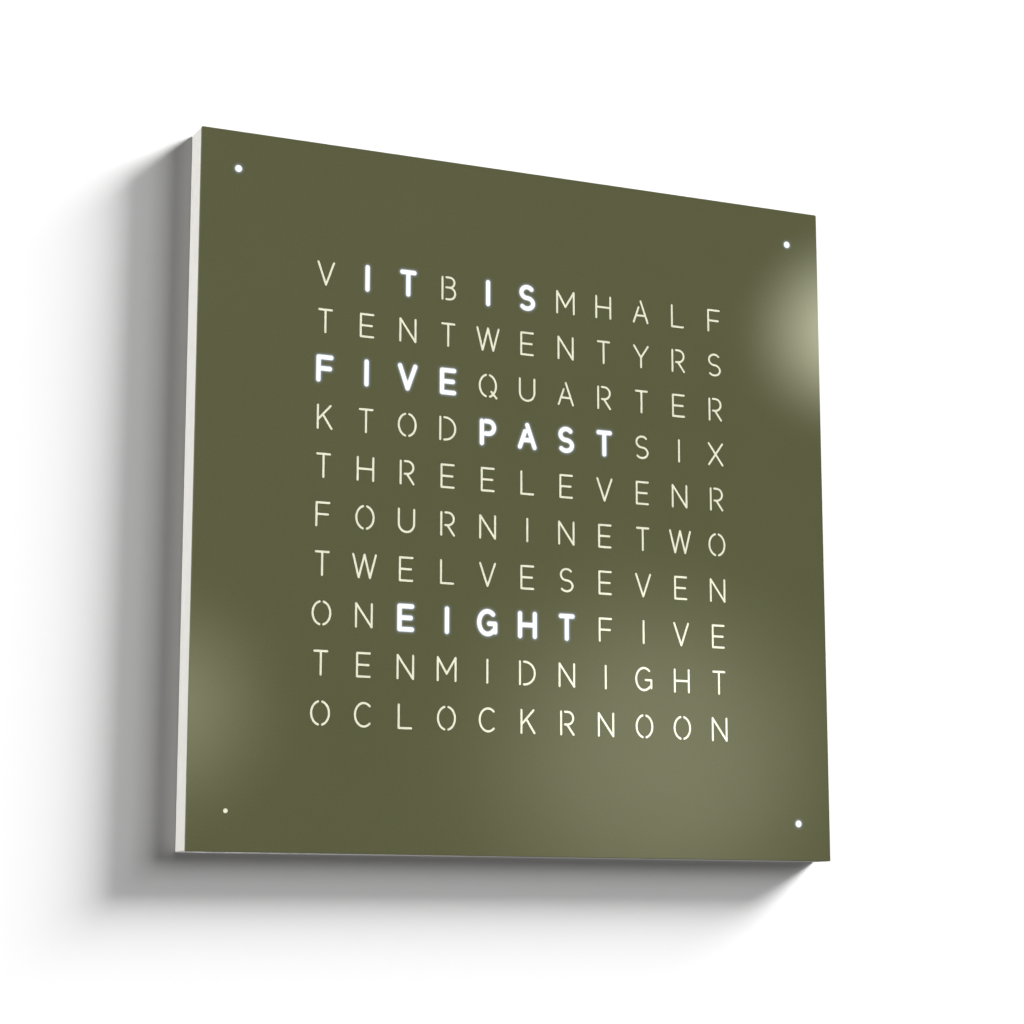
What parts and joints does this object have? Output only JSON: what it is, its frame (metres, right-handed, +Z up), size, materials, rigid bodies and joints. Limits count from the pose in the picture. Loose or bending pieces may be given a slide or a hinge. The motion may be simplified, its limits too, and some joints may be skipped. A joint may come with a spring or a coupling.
{
  "type": "word clock",
  "caption": "Square wall clock that lights words through a stencil-cut steel cover held on by magnets, with push keys in its underside.",
  "frame": {"origin": "middle of the back, in the plane that lies on the wall", "axes": "+X to the right seen from the front, +Y into the wall, +Z up"},
  "size_m": [0.45, 0.02, 0.45],
  "materials": {
    "cover_paint": "olive satin powder coat, fine grain",
    "translucent_film": "matt, cream, translucent",
    "plated_steel": "zinc plated",
    "frame_lacquer": "moulded, ivory satin lacquer",
    "magnet_nickel": "nickel plated",
    "opal_acrylic": "satin opal",
    "grid_plastic": "matt white moulded",
    "circuit_board": "white solder mask",
    "control_circuit_board": "green solder mask",
    "lamp_package": "moulded lamp body with phosphor",
    "black_package": "moulded epoxy",
    "bush_brass": "turned, nickel flashed",
    "lead_jacket": "satin sheath",
    "fine_lead": "white insulation",
    "ribbon_grey": "grey ribbed flat cable",
    "panel_aluminium": "brushed and anodised",
    "tray_plastic": "moulded, fine texture",
    "screen_can": "tinned",
    "ferrite": "ground ferrite",
    "coil_copper": "enamelled copper winding",
    "key_metal": "turned, satin",
    "plunger_plastic": "moulded"
  },
  "bodies": {
    "clock": {"antenna_clips": "black_package", "antenna_coil": "coil_copper", "antenna_lead": "fine_lead", "antenna_rod": "ferrite", "back_panel": "panel_aluminium", "back_panel_screws": "plated_steel", "backup_cell": "screen_can", "backup_cell_holder": "black_package", "body_frame": "frame_lacquer", "control_board": "control_circuit_board", "control_board_posts": "bush_brass", "control_board_screws": "plated_steel", "control_board_sockets": "black_package", "cover_magnets": "magnet_nickel", "diffuser_plate": "opal_acrylic", "diffuser_screws": "plated_steel", "grid_screws": "plated_steel", "hanger_plate_left": "plated_steel", "hanger_plate_right": "plated_steel", "hanger_screws": "plated_steel", "jack_contact_pin": "bush_brass", "jack_nut": "plated_steel", "key_board": "control_circuit_board", "key_board_posts": "bush_brass", "key_board_screws": "plated_steel", "key_lead": "lead_jacket", "key_switches": "black_package", "led_board": "circuit_board", "led_board_standoffs": "bush_brass", "light_grid": "grid_plastic", "light_sensor": "black_package", "microcontroller": "black_package", "minute_board_posts": "bush_brass", "minute_boards": "circuit_board", "minute_leads": "fine_lead", "minute_leds": "lamp_package", "minute_light_cups": "grid_plastic", "power_inlet_tray": "tray_plastic", "power_jack": "black_package", "power_lead": "lead_jacket", "radio_receiver": "screen_can", "ribbon_cable": "ribbon_grey", "ribbon_headers": "black_package", "word_leds": "lamp_package"},
    "cover": {"front_cover": "cover_paint", "backing_film": "translucent_film", "cover_locating_studs": "plated_steel"},
    "key_1": {"key_1_cap": "key_metal", "key_1_plunger": "plunger_plastic"},
    "key_2": {"key_2_cap": "key_metal", "key_2_plunger": "plunger_plastic"},
    "key_3": {"key_3_cap": "key_metal", "key_3_plunger": "plunger_plastic"},
    "key_4": {"key_4_cap": "key_metal", "key_4_plunger": "plunger_plastic"}
  },
  "joints": [
    {"name": "cover_pull", "type": "slide", "parent": "clock", "child": "cover", "axis": [0, -1, 0], "range_m": [0, 0.06]},
    {"name": "key_1_press", "type": "slide", "parent": "clock", "child": "key_1", "axis": [0, 0, 1], "range_m": [0, 0.0008], "stiffness_N_per_m": 1200, "springref_m": -0.0004},
    {"name": "key_2_press", "type": "slide", "parent": "clock", "child": "key_2", "axis": [0, 0, 1], "range_m": [0, 0.0008], "stiffness_N_per_m": 1200, "springref_m": -0.0004},
    {"name": "key_3_press", "type": "slide", "parent": "clock", "child": "key_3", "axis": [0, 0, 1], "range_m": [0, 0.0008], "stiffness_N_per_m": 1200, "springref_m": -0.0004},
    {"name": "key_4_press", "type": "slide", "parent": "clock", "child": "key_4", "axis": [0, 0, 1], "range_m": [0, 0.0008], "stiffness_N_per_m": 1200, "springref_m": -0.0004}
  ]
}
